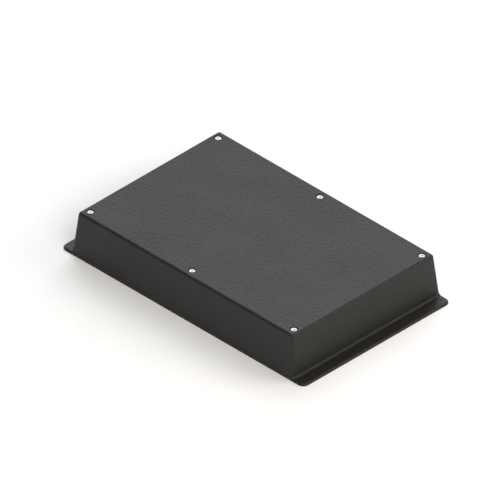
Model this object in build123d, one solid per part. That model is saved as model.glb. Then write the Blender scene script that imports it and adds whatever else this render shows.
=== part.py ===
from build123d import *
import math
import os

# Enclosed Yagi antenna: a flanged radome over a closing base that carries a five-element Yagi.
# Millimetres. +X is the direction of fire, +Z is up, the origin is the centre of the underside.

# ---- radome outside ----
LENGTH = 320.0              # over both end flanges
WIDTH = 195.0
HEIGHT = 48.0
DRAFT = 5.0                 # degrees, on all four walls
FLANGE_PROJECTION = 14.0    # beyond the foot of each end wall
FLANGE_THICKNESS = 2.3
FLANGE_CORNER = 6.5
FLANGE_RIM_ROUND = 1.7
FOOT_FILLET = 2.5           # hollow between wall and flange
WALL_CORNER = 3.0
TOP_EDGE_ROUND = 3.0

# ---- radome inside ----
WALL = 3.5
ROOF = 3.0
LEDGE_HEIGHT = 5.2          # underside of the ledge that the base gasket meets
POCKET_WALL = 2.1           # wall left beside the base plate
RIB_THICKNESS = 2.0
RIB_DEPTH = 5.0
RIB_X = 67.0

# ---- cover screws, M3.5 pan head, and what they pass through ----
SCREW_INSET_X = 7.6         # from the edge of the flat top outline
SCREW_INSET_Y = 9.0
SCREW_RADIUS = 1.75
SCREW_LENGTH = 16.0
SCREW_HEAD_HEIGHT = 2.4
SCREW_CLEARANCE = 0.3       # round the shank in the radome
RECESS_CLEARANCE = 0.3      # round the head
RECESS_DEPTH = 3.5
SEAL_THICKNESS = 0.8
CROSS_LENGTH = 4.0
CROSS_WIDTH = 0.95
CROSS_DEPTH = 1.5
BOSS_WALL = 3.55            # round the clearance hole
BOSS_WEB = 6.0
BOSS_DEPTH = 12.8           # from the top face down to the boss's lower end
INSERT_WALL = 0.75
INSERT_LENGTH = 7.0
THREAD_CLEARANCE = 0.1

# ---- base ----
BASE_THICKNESS = 4.0
BASE_CLEARANCE = 0.4
PILLAR_WALL = 1.9           # round the insert
PILLAR_GAP = 0.3            # under the boss
GASKET_WIDTH = 1.6
MOUNT_SPACING_X = 100.0
MOUNT_SPACING_Y = 100.0
MOUNT_INSERT_RADIUS = 3.6
MOUNT_BORE_RADIUS = 2.15
MOUNT_INSERT_LENGTH = 8.0
MOUNT_BOSS_RADIUS = 6.5
MOUNT_BOSS_HEIGHT = 11.0

# ---- boom and its supports ----
BOOM_SIZE = 12.0
BOOM_WALL = 1.5
BOOM_CORNER = 1.0
BOOM_BOTTOM = 8.0
BOOM_BACK = -116.0
BOOM_FRONT = 122.0
PLUG_DEPTH = 8.0
PLUG_FLANGE = 1.6
CRADLE_X = (-84.0, 78.0)
CRADLE_LENGTH = 14.0
CRADLE_WIDTH = 38.0
EAR_TOP = 11.0
STRAP_THICKNESS = 1.5
STRAP_LENGTH = 10.0
FIT = 0.05                  # between pieces that are clamped together
SMALL_SCREW_RADIUS = 1.5
SMALL_HEAD_RADIUS = 2.8
SMALL_HEAD_HEIGHT = 1.9
SMALL_CROSS = (3.2, 0.8, 1.1)
SMALL_SCREW_START = 1.5     # height of the tips in the base plate

# ---- Yagi elements, for about 915 MHz ----
ROD_RADIUS = 3.0
POST_HEIGHT = 2.4           # of the terminals, from the balun board up to the dipole
REFLECTOR = (-104.0, 160.0)             # place along the boom, length
DIRECTORS = ((-10.0, 141.0), (48.0, 137.0), (112.0, 133.0))
DIPOLE_X = -54.0
DIPOLE_LENGTH = 150.0
DIPOLE_SPACING = 20.0
FEED_GAP = 10.0
SADDLE_LENGTH = 14.0
SADDLE_WIDTH = 16.0
SADDLE_CROWN = 2.5          # material over the rod
DIPOLE_SADDLE = (8.0, 12.0)

# ---- balun ----
CASE_LENGTH = 38.0
CASE_WIDTH = 32.0
CASE_HEIGHT = 17.0
CASE_WALL = 2.0
CASE_CORNER = 2.5
LID_THICKNESS = 2.0
BOARD_SIZE = (17.0, 25.0)
BOARD_THICKNESS = 1.6
BOARD_LIFT = 1.0
TRANSFORMER = (6.0, 8.0, 4.0)

# ---- connector end ----
PORT_Y = 32.0
PORT_HEIGHT = 20.0
BAY_RADIUS = 14.0
BAY_CLEARANCE = 0.4
PLATE_SETBACK = 5.3         # from the base plate's edge
PLATE_THICKNESS = 2.5
PLATE_WIDTH = 44.0
PLATE_TOP = 39.0
PLATE_FOOT = 13.0
SEAL_GAP = 0.15
PORT_THREAD_RADIUS = 7.94
PORT_REACH = 15.0           # thread beyond the plate
PORT_RELIEF = (1.0, 0.6)    # width and depth of the groove that ends the mating thread
PORT_RELIEF_GAP = 0.5       # from the nut to that groove
PORT_BORE_RADIUS = 4.3
PORT_COLLAR_RADIUS = 11.0
PORT_COLLAR_LENGTH = 3.0
PORT_BARREL_RADIUS = 4.6
PORT_BARREL_LENGTH = 7.0
NUT_FLATS = 20.6
NUT_THICKNESS = 3.2
WASHER_THICKNESS = 0.8
WASHER_RADIUS = 10.4
O_RING_RADIUS = 9.2
O_RING_SECTION = 0.6
CONTACT_RADIUS = 1.5
CONTACT_TIP_RADIUS = 0.8

# ---- feed cable ----
CABLE_RADIUS = 1.4
GROMMET_RADIUS = 2.55       # where it passes the case's wall
GROMMET_LIP_RADIUS = 3.4
GROMMET_LIP = 1.2
CLIP_X = -85.0
CLIP_LENGTH = 5.0
CLIP_WIDTH = 8.0
CLIP_MOUTH = 1.8
CLIP_LIP = 1.2              # over the cable
CABLE_SIDESTEP = 0.5        # from the socket's line to the clip's
CABLE_LOW = 8.0

# ---- worked out ----
LEAN = math.tan(math.radians(DRAFT))
BLOCK_LENGTH = LENGTH - 2 * FLANGE_PROJECTION
TOP_LENGTH = BLOCK_LENGTH - 2 * HEIGHT * LEAN
TOP_WIDTH = WIDTH - 2 * HEIGHT * LEAN
SCREW_HEAD_RADIUS = 2 * SCREW_RADIUS
SCREW_HOLE_RADIUS = SCREW_RADIUS + SCREW_CLEARANCE
RECESS_RADIUS = SCREW_HEAD_RADIUS + RECESS_CLEARANCE
BOSS_RADIUS = SCREW_HOLE_RADIUS + BOSS_WALL
INSERT_BORE_RADIUS = SCREW_RADIUS + THREAD_CLEARANCE
INSERT_RADIUS = INSERT_BORE_RADIUS + INSERT_WALL
PILLAR_RADIUS = INSERT_RADIUS + PILLAR_WALL
SCREW_X = TOP_LENGTH / 2 - SCREW_INSET_X
SCREW_Y = TOP_WIDTH / 2 - SCREW_INSET_Y
SCREW_PLACES = [(x, y) for y in (-SCREW_Y, SCREW_Y) for x in (-SCREW_X, 0.0, SCREW_X)]
BOSS_END = HEIGHT - BOSS_DEPTH
SEAT = HEIGHT - RECESS_DEPTH
HEAD_UNDER = SEAT + SEAL_THICKNESS
PILLAR_TOP = BOSS_END - PILLAR_GAP
POCKET_LENGTH = BLOCK_LENGTH - 2 * POCKET_WALL
POCKET_WIDTH = WIDTH - 2 * POCKET_WALL
BASE_LENGTH = POCKET_LENGTH - 2 * BASE_CLEARANCE
BASE_WIDTH = POCKET_WIDTH - 2 * BASE_CLEARANCE
SMALL_HOLE_RADIUS = SMALL_SCREW_RADIUS + FIT
BOOM_TOP = BOOM_BOTTOM + BOOM_SIZE
BOOM_LENGTH = BOOM_FRONT - BOOM_BACK
EAR_Y = CRADLE_WIDTH / 2 - 5.5
CASE_FLOOR = BOOM_TOP + CASE_WALL
CASE_TOP = BOOM_TOP + CASE_HEIGHT
BOARD_BOTTOM = CASE_FLOOR + BOARD_LIFT
BOARD_TOP = BOARD_BOTTOM + BOARD_THICKNESS
ROD_HEIGHT = BOARD_TOP + POST_HEIGHT + ROD_RADIUS
REAR_BAR_X = DIPOLE_X - DIPOLE_SPACING / 2
FEED_BAR_X = DIPOLE_X + DIPOLE_SPACING / 2
BOARD_X = FEED_BAR_X - 3.5
TERMINAL_Y = FEED_GAP / 2 + ROD_RADIUS
PLATE_OUTER_X = PLATE_SETBACK - BASE_LENGTH / 2
PLATE_INNER_X = PLATE_OUTER_X + PLATE_THICKNESS
FOOT_TOP = BASE_THICKNESS + PLATE_THICKNESS
COLLAR_END_X = PLATE_INNER_X + PORT_COLLAR_LENGTH
BARREL_END_X = COLLAR_END_X + PORT_BARREL_LENGTH
PORT_TIP_X = PLATE_OUTER_X - PORT_REACH
CABLE_ENTRY_Z = BOARD_TOP + CABLE_RADIUS
CABLE_ROUTE = [
    (COLLAR_END_X, PORT_Y, PORT_HEIGHT),
    (BARREL_END_X + 13, PORT_Y, PORT_HEIGHT),
    (CLIP_X - 15, PORT_Y - CABLE_SIDESTEP, CABLE_LOW),
    (CLIP_X + 13, PORT_Y - CABLE_SIDESTEP, CABLE_LOW),
    (DIPOLE_X - 6, PORT_Y - 1, CABLE_LOW + 4),
    (DIPOLE_X, PORT_Y - 5, CABLE_ENTRY_Z - 4),
    (DIPOLE_X, PORT_Y - 10, CABLE_ENTRY_Z),
    (DIPOLE_X, 0.0, CABLE_ENTRY_Z),
]


def box(x, y, z, low_z, at=(0.0, 0.0)):
    """A block of the size x, y, z that stands on the height low_z."""
    return Pos(at[0], at[1], low_z + z / 2) * Box(x, y, z)


def post(radius, low_z, high_z, at):
    """An upright cylinder between two heights."""
    return Pos(at[0], at[1], (low_z + high_z) / 2) * Cylinder(radius, high_z - low_z)


def along_x(radius, low_x, high_x, y, z):
    """A cylinder that lies along X."""
    return Pos((low_x + high_x) / 2, y, z) * Rot(0, 90, 0) * Cylinder(radius, high_x - low_x)


def along_y(radius, length, x, z, y=0.0):
    """A cylinder that lies along Y, centred on y."""
    return Pos(x, y, z) * Rot(90, 0, 0) * Cylinder(radius, length)


def drafted(inset, low_z, high_z):
    """The space inside the drafted walls, inset from their outside, between two heights."""
    width = BLOCK_LENGTH - 2 * inset - 2 * low_z * LEAN
    depth = WIDTH - 2 * inset - 2 * low_z * LEAN
    return Pos(0, 0, low_z) * extrude(Rectangle(width, depth), high_z - low_z, taper=DRAFT)


def bay(grow=0.0):
    """The arched opening for the connector, from the underside up, through the rear wall and flange."""
    radius = BAY_RADIUS + grow
    depth = LENGTH / 2 + PLATE_OUTER_X + 12
    middle = -LENGTH / 2 + depth / 2 - 1
    arch = Pos(middle, PORT_Y, PORT_HEIGHT) * Rot(0, 90, 0) * Cylinder(radius, depth + 2)
    below = box(depth + 2, 2 * radius, PORT_HEIGHT + 2, -2, (middle, PORT_Y))
    return arch + below


def radome_outside():
    """Drafted block and flange with their fillets, trimmed to the rounded plan outline."""
    block = drafted(0, 0, HEIGHT)
    block = fillet([e for e in block.edges() if abs((e @ 1 - e @ 0).Z) > HEIGHT / 2], WALL_CORNER)
    block = fillet([e for e in block.edges() if e.bounding_box().min.Z > HEIGHT - 0.01], TOP_EDGE_ROUND)
    margin = 8 * FOOT_FILLET
    shape = block + extrude(Rectangle(LENGTH + margin, WIDTH + margin), FLANGE_THICKNESS)
    shape = fillet([e for e in at_height(shape, FLANGE_THICKNESS) if in_plan(e)], FOOT_FILLET)
    shape = shape & extrude(RectangleRounded(LENGTH, WIDTH, FLANGE_CORNER), HEIGHT + 1)
    rim = LENGTH / 2 - FLANGE_CORNER / 2
    rim_edges = [e for e in at_height(shape, FLANGE_THICKNESS) if abs(e.center().X) > rim]
    return fillet(rim_edges, FLANGE_RIM_ROUND)


def at_height(shape, z):
    """Edges that lie wholly at one height."""
    flat = []
    for edge in shape.edges():
        bounds = edge.bounding_box()
        if abs(bounds.min.Z - z) < 1e-3 and abs(bounds.max.Z - z) < 1e-3:
            flat.append(edge)
    return flat


def in_plan(edge):
    """Whether an edge lies inside the flange's outline, and not on the blank around it."""
    bounds = edge.bounding_box()
    return max(abs(bounds.min.X), abs(bounds.max.X)) < LENGTH / 2 and abs(edge.center().Y) < WIDTH / 2 + 1


def screw_boss(x, y):
    """A boss that hangs from the roof, with a web that ties it to the long wall."""
    side = math.copysign(1, y)
    web_end = WIDTH / 2 - BOSS_END * LEAN - WALL / 2
    boss = post(BOSS_RADIUS, BOSS_END, HEIGHT - ROOF + 0.5, (x, y))
    middle = (x, side * (web_end + abs(y)) / 2)
    web = box(BOSS_WEB, web_end - abs(y), HEIGHT - ROOF - BOSS_END, BOSS_END, middle)
    return boss + web


def radome():
    """One moulded shell: end flanges, six recessed screw holes, stiffening ribs, connector opening."""
    inside = drafted(WALL, 0, HEIGHT - ROOF)
    shell = radome_outside() - inside
    shell -= box(POCKET_LENGTH, POCKET_WIDTH, LEDGE_HEIGHT + 1, -1)
    for x in (-RIB_X, RIB_X):
        rib = box(RIB_THICKNESS, WIDTH, RIB_DEPTH, HEIGHT - ROOF - RIB_DEPTH, (x, 0))
        shell += rib & drafted(WALL / 2, 0, HEIGHT - ROOF / 2)
    for place in SCREW_PLACES:
        shell += screw_boss(*place) & drafted(WALL / 2, 0, HEIGHT - ROOF / 2)
    for place in SCREW_PLACES:
        shell -= post(SCREW_HOLE_RADIUS, BOSS_END - 1, HEIGHT, place)
        shell -= post(RECESS_RADIUS, SEAT, HEIGHT + 1, place)
    return shell - bay()


def cover_screw(x, y):
    """Pan-head screw with a cross recess; its arms lie along X and Y."""
    head = post(SCREW_HEAD_RADIUS, HEAD_UNDER, HEAD_UNDER + SCREW_HEAD_HEIGHT, (x, y))
    head = fillet(head.edges().group_by(Axis.Z)[-1], SCREW_HEAD_HEIGHT * 0.4)
    screw = head + post(SCREW_RADIUS, HEAD_UNDER - SCREW_LENGTH, HEAD_UNDER, (x, y))
    tip = screw.edges().group_by(Axis.Z)[0]
    screw = chamfer(tip, SCREW_RADIUS * 0.4)
    return screw - cross(CROSS_LENGTH, CROSS_WIDTH, CROSS_DEPTH, HEAD_UNDER + SCREW_HEAD_HEIGHT, (x, y))


def cross(length, width, depth, top_z, at):
    """The two crossing slots of a driver recess, cut down from top_z."""
    arms = box(length, width, depth + 1, top_z - depth, at)
    return arms + box(width, length, depth + 1, top_z - depth, at)


def screw_seals():
    """A sealing washer under each cover screw's head."""
    rings = []
    for place in SCREW_PLACES:
        ring = post(SCREW_HEAD_RADIUS, SEAT, HEAD_UNDER, place)
        rings.append(ring - post(INSERT_BORE_RADIUS, SEAT - 1, HEAD_UNDER + 1, place))
    return rings


def mount_places():
    """Centres of the four threaded inserts in the underside."""
    return [(sx * MOUNT_SPACING_X / 2, sy * MOUNT_SPACING_Y / 2) for sx in (-1, 1) for sy in (-1, 1)]


def foot_screw_places():
    """Where the connector plate's foot is screwed down."""
    x = PLATE_INNER_X + PLATE_FOOT - 4.5
    return [(x, PORT_Y - PLATE_WIDTH / 2 + 5), (x, PORT_Y + PLATE_WIDTH / 2 - 5)]


def base_plate():
    """Closing plate with screw pillars, insert bosses and a tongue that fills the opening's foot."""
    plate = extrude(RectangleRounded(BASE_LENGTH, BASE_WIDTH, WALL_CORNER), BASE_THICKNESS)
    reach = LENGTH / 2 - BASE_LENGTH / 2 - BAY_CLEARANCE
    tongue_width = 2 * (BAY_RADIUS - BAY_CLEARANCE)
    middle = -BASE_LENGTH / 2 - reach / 2 + 1
    plate += box(reach + 2, tongue_width, FLANGE_THICKNESS, 0, (middle, PORT_Y))
    for place in SCREW_PLACES:
        plate += post(PILLAR_RADIUS, BASE_THICKNESS - 1, PILLAR_TOP, place)
    for place in mount_places():
        plate += post(MOUNT_BOSS_RADIUS, BASE_THICKNESS - 1, MOUNT_BOSS_HEIGHT, place)
    for place in SCREW_PLACES:
        plate -= post(INSERT_RADIUS, PILLAR_TOP - INSERT_LENGTH, PILLAR_TOP + 1, place)
        plate -= post(SCREW_HOLE_RADIUS, PILLAR_TOP - SCREW_LENGTH, PILLAR_TOP, place)
    for place in mount_places():
        plate -= post(MOUNT_INSERT_RADIUS, -1, MOUNT_INSERT_LENGTH, place)
    for place in strap_screw_places() + foot_screw_places():
        plate -= post(SMALL_HOLE_RADIUS, 1, BASE_THICKNESS + 1, place)
    return plate


def base_gasket():
    """Flat ring on the base plate's edge, under the radome's ledge."""
    depth = LEDGE_HEIGHT - BASE_THICKNESS - 0.1
    inner = (BASE_LENGTH - 2 * GASKET_WIDTH, BASE_WIDTH - 2 * GASKET_WIDTH)
    ring = extrude(RectangleRounded(BASE_LENGTH, BASE_WIDTH, WALL_CORNER), depth)
    ring -= extrude(RectangleRounded(*inner, WALL_CORNER / 2), depth)
    return Pos(0, 0, BASE_THICKNESS) * ring


def knurled_insert(radius, bore, low_z, high_z, place):
    """Brass insert with a waist between its two grip bands."""
    length = high_z - low_z
    insert = post(radius, low_z, high_z, place)
    waist = post(radius + 1, low_z + 0.4 * length, low_z + 0.6 * length, place)
    insert -= waist - post(radius - 0.4, low_z, high_z, place)
    return insert - post(bore, low_z - 1, high_z + 1, place)


def pillar_insert(place):
    """Insert that one cover screw bites into."""
    return knurled_insert(INSERT_RADIUS, INSERT_BORE_RADIUS, PILLAR_TOP - INSERT_LENGTH, PILLAR_TOP, place)


def mount_insert(place):
    """Insert in the underside for one screw of a bracket."""
    return knurled_insert(MOUNT_INSERT_RADIUS, MOUNT_BORE_RADIUS, 0, MOUNT_INSERT_LENGTH, place)


def boom():
    """Square tube with the screw holes of the elements in its upper wall."""
    middle = (BOOM_BACK + BOOM_FRONT) / 2
    tube = box(BOOM_LENGTH, BOOM_SIZE, BOOM_SIZE, BOOM_BOTTOM, (middle, 0))
    tube = fillet(tube.edges().filter_by(Axis.X), BOOM_CORNER)
    bore = BOOM_SIZE - 2 * BOOM_WALL
    tube -= box(BOOM_LENGTH + 2, bore, bore, BOOM_BOTTOM + BOOM_WALL, (middle, 0))
    for x in element_places():
        tube -= post(SMALL_HOLE_RADIUS, BOOM_TOP - 2 * BOOM_WALL, BOOM_TOP + 1, (x, 0))
    return tube


def boom_plug(x, outward):
    """Push-in cap for one end of the boom."""
    bore = BOOM_SIZE - 2 * BOOM_WALL - 2 * FIT
    low = BOOM_BOTTOM + BOOM_WALL + FIT
    stem = box(PLUG_DEPTH, bore, bore, low, (x - outward * PLUG_DEPTH / 2, 0))
    cap = box(PLUG_FLANGE, BOOM_SIZE, BOOM_SIZE, BOOM_BOTTOM, (x + outward * PLUG_FLANGE / 2, 0))
    return stem + fillet(cap.edges().filter_by(Axis.X), BOOM_CORNER)


def element_places():
    """Places along the boom where a screw holds an element."""
    return [REFLECTOR[0], REAR_BAR_X] + [x for x, _ in DIRECTORS]


def strap_screw_places():
    """The screws of both boom straps."""
    return [(x, side * EAR_Y) for x in CRADLE_X for side in (-1, 1)]


def boom_cradle(x):
    """Moulded block that the boom lies in, on the base plate."""
    block = box(CRADLE_LENGTH, CRADLE_WIDTH, EAR_TOP - BASE_THICKNESS, BASE_THICKNESS, (x, 0))
    block = fillet(block.edges().filter_by(Axis.Z), 2.0)
    block -= box(CRADLE_LENGTH + 2, BOOM_SIZE + 2 * FIT, EAR_TOP, BOOM_BOTTOM, (x, 0))
    for side in (-1, 1):
        block -= post(SMALL_HOLE_RADIUS, BASE_THICKNESS - 1, EAR_TOP + 1, (x, side * EAR_Y))
    return block


def boom_strap(x):
    """Bent metal strap over the boom, screwed down at both ears."""
    inner = BOOM_SIZE + 2 * FIT
    outer = inner + 2 * STRAP_THICKNESS
    top = BOOM_TOP + FIT + STRAP_THICKNESS
    strap = box(STRAP_LENGTH, CRADLE_WIDTH - 4, STRAP_THICKNESS, EAR_TOP, (x, 0))
    strap += box(STRAP_LENGTH, outer, top - EAR_TOP, EAR_TOP, (x, 0))
    strap = fillet([e for e in strap.edges().filter_by(Axis.X) if e.center().Z > BOOM_TOP], 1.2)
    strap -= box(STRAP_LENGTH + 2, inner, BOOM_TOP + FIT - EAR_TOP + 5, EAR_TOP - 5, (x, 0))
    for side in (-1, 1):
        strap -= post(SMALL_HOLE_RADIUS, EAR_TOP - 1, top, (x, side * EAR_Y))
    return strap


def small_screw(low_z, seat_z, at):
    """Pan-head cross-recess screw whose head sits on seat_z."""
    head = post(SMALL_HEAD_RADIUS, seat_z, seat_z + SMALL_HEAD_HEIGHT, at)
    head = fillet(head.edges().group_by(Axis.Z)[-1], SMALL_HEAD_HEIGHT * 0.4)
    screw = head + post(SMALL_SCREW_RADIUS, low_z, seat_z, at)
    return screw - cross(*SMALL_CROSS, seat_z + SMALL_HEAD_HEIGHT, at)


def rod(x, length):
    """Straight element rod with chamfered ends and a cross hole at its middle."""
    bar = along_y(ROD_RADIUS, length, x, ROD_HEIGHT)
    bar = chamfer(bar.edges(), ROD_RADIUS / 5)
    return bar - rod_hole((x, 0))


def rod_hole(at):
    """The upright hole for a screw through a rod."""
    return post(SMALL_HOLE_RADIUS, ROD_HEIGHT - 2 * ROD_RADIUS, ROD_HEIGHT + 2 * ROD_RADIUS, at)


def folded_dipole():
    """One rod bent into a flat loop, open at the feed gap, with holes for its three screws."""
    end = DIPOLE_LENGTH / 2 - ROD_RADIUS
    straight = end - DIPOLE_SPACING / 2
    gap = FEED_GAP / 2
    feed_out = Line((FEED_BAR_X, gap), (FEED_BAR_X, straight))
    first_bend = ThreePointArc(feed_out @ 1, (DIPOLE_X, end), (REAR_BAR_X, straight))
    rear_bar = Line(first_bend @ 1, (REAR_BAR_X, -straight))
    second_bend = ThreePointArc(rear_bar @ 1, (DIPOLE_X, -end), (FEED_BAR_X, -straight))
    feed_back = Line(second_bend @ 1, (FEED_BAR_X, -gap))
    path = Pos(0, 0, ROD_HEIGHT) * (feed_out + first_bend + rear_bar + second_bend + feed_back)
    section = Plane((FEED_BAR_X, gap, ROD_HEIGHT), z_dir=(0, 1, 0)) * Circle(ROD_RADIUS)
    loop = sweep(section, path)
    for at in dipole_screw_places():
        loop -= rod_hole(at)
    return loop


def dipole_screw_places():
    """The middle of the unbroken bar and the two terminals."""
    return [(REAR_BAR_X, 0)] + terminal_places()


def terminal_places():
    """Centres of the two terminals, one under each end of the dipole."""
    return [(FEED_BAR_X, side * TERMINAL_Y) for side in (-1, 1)]


def saddle(x):
    """Insulating block that holds a rod over the boom."""
    top = ROD_HEIGHT + ROD_RADIUS + SADDLE_CROWN
    block = box(SADDLE_LENGTH, SADDLE_WIDTH, top - BOOM_TOP, BOOM_TOP, (x, 0))
    block = fillet(block.edges().filter_by(Axis.Y).group_by(Axis.Z)[-1], ROD_RADIUS)
    block -= along_y(ROD_RADIUS + FIT, SADDLE_WIDTH + 2, x, ROD_HEIGHT)
    return block - post(SMALL_HOLE_RADIUS, BOOM_TOP - 1, top + 1, (x, 0))


def dipole_saddle():
    """Half-height block under the dipole's unbroken bar, inside the balun case."""
    length, width = DIPOLE_SADDLE
    block = box(length, width, ROD_HEIGHT - CASE_FLOOR, CASE_FLOOR, (REAR_BAR_X, 0))
    block -= along_y(ROD_RADIUS + FIT, width + 2, REAR_BAR_X, ROD_HEIGHT)
    return block - post(SMALL_HOLE_RADIUS, CASE_FLOOR - 1, ROD_HEIGHT + 1, (REAR_BAR_X, 0))


def bar_slots(low_z, high_z, clearance):
    """The upright slots that the dipole's bars drop into, through both side walls of the case."""
    slots = []
    for x in (REAR_BAR_X, FEED_BAR_X):
        slots.append(box(2 * (ROD_RADIUS + clearance), CASE_WIDTH + 4, high_z - low_z, low_z, (x, 0)))
    return slots[0] + slots[1]


def balun_case():
    """Open box on the boom, slotted for the dipole's bars and holed for the cable."""
    case = box(CASE_LENGTH, CASE_WIDTH, CASE_HEIGHT, BOOM_TOP, (DIPOLE_X, 0))
    case = fillet(case.edges().filter_by(Axis.Z), CASE_CORNER)
    inside = (CASE_LENGTH - 2 * CASE_WALL, CASE_WIDTH - 2 * CASE_WALL)
    case -= box(*inside, CASE_HEIGHT, CASE_FLOOR, (DIPOLE_X, 0))
    case -= bar_slots(ROD_HEIGHT, CASE_TOP + 1, FIT)
    for x in (REAR_BAR_X, FEED_BAR_X):
        case -= along_y(ROD_RADIUS + FIT, CASE_WIDTH + 4, x, ROD_HEIGHT)
    for x, y in board_peg_places():
        case += post(2.0, CASE_FLOOR - 0.5, BOARD_BOTTOM, (x, y))
    case -= post(SMALL_HOLE_RADIUS, BOOM_TOP - 1, CASE_FLOOR + 1, (REAR_BAR_X, 0))
    wall_y = (CASE_WIDTH - CASE_WALL) / 2
    return case - along_y(GROMMET_RADIUS + FIT, CASE_WALL + 2, DIPOLE_X, CABLE_ENTRY_Z, wall_y)


def board_peg_places():
    """Four short pegs that hold the board off the case's floor."""
    inset = 2.5
    half_x = BOARD_SIZE[0] / 2 - inset
    half_y = BOARD_SIZE[1] / 2 - inset
    return [(BOARD_X + sx * half_x, sy * half_y) for sx in (-1, 1) for sy in (-1, 1)]


def balun_lid():
    """Flat lid with tongues that close the slots above the bars."""
    lid = box(CASE_LENGTH, CASE_WIDTH, LID_THICKNESS, CASE_TOP, (DIPOLE_X, 0))
    lid = fillet(lid.edges().filter_by(Axis.Z), CASE_CORNER)
    lid = chamfer(lid.edges().group_by(Axis.Z)[-1], 0.5)
    depth = CASE_TOP - ROD_HEIGHT - ROD_RADIUS - 0.3
    for x in (REAR_BAR_X, FEED_BAR_X):
        for side in (-1, 1):
            y = side * (CASE_WIDTH - CASE_WALL) / 2
            lid += box(2 * ROD_RADIUS - 0.3, CASE_WALL - 0.2, depth, CASE_TOP - depth, (x, y))
    return lid


def balun_board():
    """Small circuit board under the dipole's feed gap."""
    board = box(*BOARD_SIZE, BOARD_THICKNESS, BOARD_BOTTOM, (BOARD_X, 0))
    for place in terminal_places():
        board -= post(SMALL_HOLE_RADIUS, BOARD_BOTTOM - 1, BOARD_TOP + 1, place)
    return board


def terminal_post(place):
    """Brass collar between the board and one end of the dipole."""
    ring = post(SMALL_HEAD_RADIUS, BOARD_TOP, ROD_HEIGHT - ROD_RADIUS, place)
    return ring - post(SMALL_HOLE_RADIUS, BOARD_TOP - 1, ROD_HEIGHT, place)


def connector_plate():
    """Aluminium angle that carries the connector, with its foot on the base plate."""
    height = PLATE_TOP - BASE_THICKNESS
    middle = (PLATE_OUTER_X + PLATE_INNER_X) / 2
    plate = box(PLATE_THICKNESS, PLATE_WIDTH, height, BASE_THICKNESS, (middle, PORT_Y))
    plate = fillet(plate.edges().filter_by(Axis.X).group_by(Axis.Z)[-1], 8.0)
    foot_middle = PLATE_INNER_X + PLATE_FOOT / 2 - PLATE_THICKNESS / 2
    foot_length = PLATE_FOOT + PLATE_THICKNESS
    plate += box(foot_length, PLATE_WIDTH, PLATE_THICKNESS, BASE_THICKNESS, (foot_middle, PORT_Y))
    plate -= along_x(PORT_THREAD_RADIUS + FIT, PLATE_OUTER_X - 1, PLATE_INNER_X + 1, PORT_Y, PORT_HEIGHT)
    for place in foot_screw_places():
        plate -= post(SMALL_HOLE_RADIUS, BASE_THICKNESS - 1, FOOT_TOP + 1, place)
    return plate


def connector_seal():
    """Wedge-shaped rubber frame between the upright plate and the leaning rear wall."""
    depth = 8.0
    radius = BAY_RADIUS + 3.0
    middle = PLATE_OUTER_X - depth / 2
    frame = along_x(radius, PLATE_OUTER_X - depth, PLATE_OUTER_X, PORT_Y, PORT_HEIGHT)
    low = LEDGE_HEIGHT + 0.1
    frame += box(depth, 2 * radius, PORT_HEIGHT - low, low, (middle, PORT_Y))
    frame -= along_x(BAY_RADIUS, PLATE_OUTER_X - depth - 1, PLATE_OUTER_X + 1, PORT_Y, PORT_HEIGHT)
    frame -= box(depth + 2, 2 * BAY_RADIUS, PORT_HEIGHT, 0, (middle, PORT_Y))
    return frame & drafted(WALL + SEAL_GAP, 0, HEIGHT)


def port_body():
    """Threaded shell of the bulkhead socket, with its collar and solder barrel behind the plate."""
    body = along_x(PORT_THREAD_RADIUS, PORT_TIP_X, PLATE_INNER_X, PORT_Y, PORT_HEIGHT)
    body = chamfer(body.edges().group_by(Axis.X)[0], 0.8)
    body -= thread_relief()
    body += along_x(PORT_COLLAR_RADIUS, PLATE_INNER_X, COLLAR_END_X, PORT_Y, PORT_HEIGHT)
    body += along_x(PORT_BARREL_RADIUS, COLLAR_END_X, BARREL_END_X, PORT_Y, PORT_HEIGHT)
    groove_end = PLATE_INNER_X + 2 * O_RING_SECTION
    half_groove = O_RING_SECTION + FIT
    groove = along_x(O_RING_RADIUS + half_groove, PLATE_INNER_X, groove_end, PORT_Y, PORT_HEIGHT)
    groove -= along_x(O_RING_RADIUS - half_groove, PLATE_INNER_X, groove_end, PORT_Y, PORT_HEIGHT)
    body -= groove
    body -= along_x(PORT_BORE_RADIUS, PORT_TIP_X - 1, COLLAR_END_X, PORT_Y, PORT_HEIGHT)
    return body - along_x(CABLE_RADIUS + FIT, COLLAR_END_X - 1, BARREL_END_X + 1, PORT_Y, PORT_HEIGHT)


def thread_relief():
    """Groove outside the nut, where the thread for the plug's coupling nut ends."""
    width, depth = PORT_RELIEF
    high = PLATE_OUTER_X - WASHER_THICKNESS - NUT_THICKNESS - PORT_RELIEF_GAP
    groove = along_x(PORT_THREAD_RADIUS + 1, high - width, high, PORT_Y, PORT_HEIGHT)
    return groove - along_x(PORT_THREAD_RADIUS - depth, high - width, high, PORT_Y, PORT_HEIGHT)


def port_insulator():
    """White insulating bead that holds the contact, set back from the socket's mouth."""
    bead = along_x(PORT_BORE_RADIUS - FIT, PORT_TIP_X + 6.0, COLLAR_END_X - 0.5, PORT_Y, PORT_HEIGHT)
    return bead - along_x(CONTACT_RADIUS + FIT / 2, PORT_TIP_X, COLLAR_END_X, PORT_Y, PORT_HEIGHT)


def port_contact():
    """Gold-plated centre contact with a slotted socket at its mouth."""
    pin = along_x(CONTACT_RADIUS, PORT_TIP_X + 2.0, COLLAR_END_X, PORT_Y, PORT_HEIGHT)
    pin -= along_x(CONTACT_TIP_RADIUS, PORT_TIP_X + 1, PORT_TIP_X + 8, PORT_Y, PORT_HEIGHT)
    slot = Pos(PORT_TIP_X + 3.5, PORT_Y, PORT_HEIGHT) * Box(5.0, 0.35, 4 * CONTACT_RADIUS)
    return pin - slot


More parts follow.
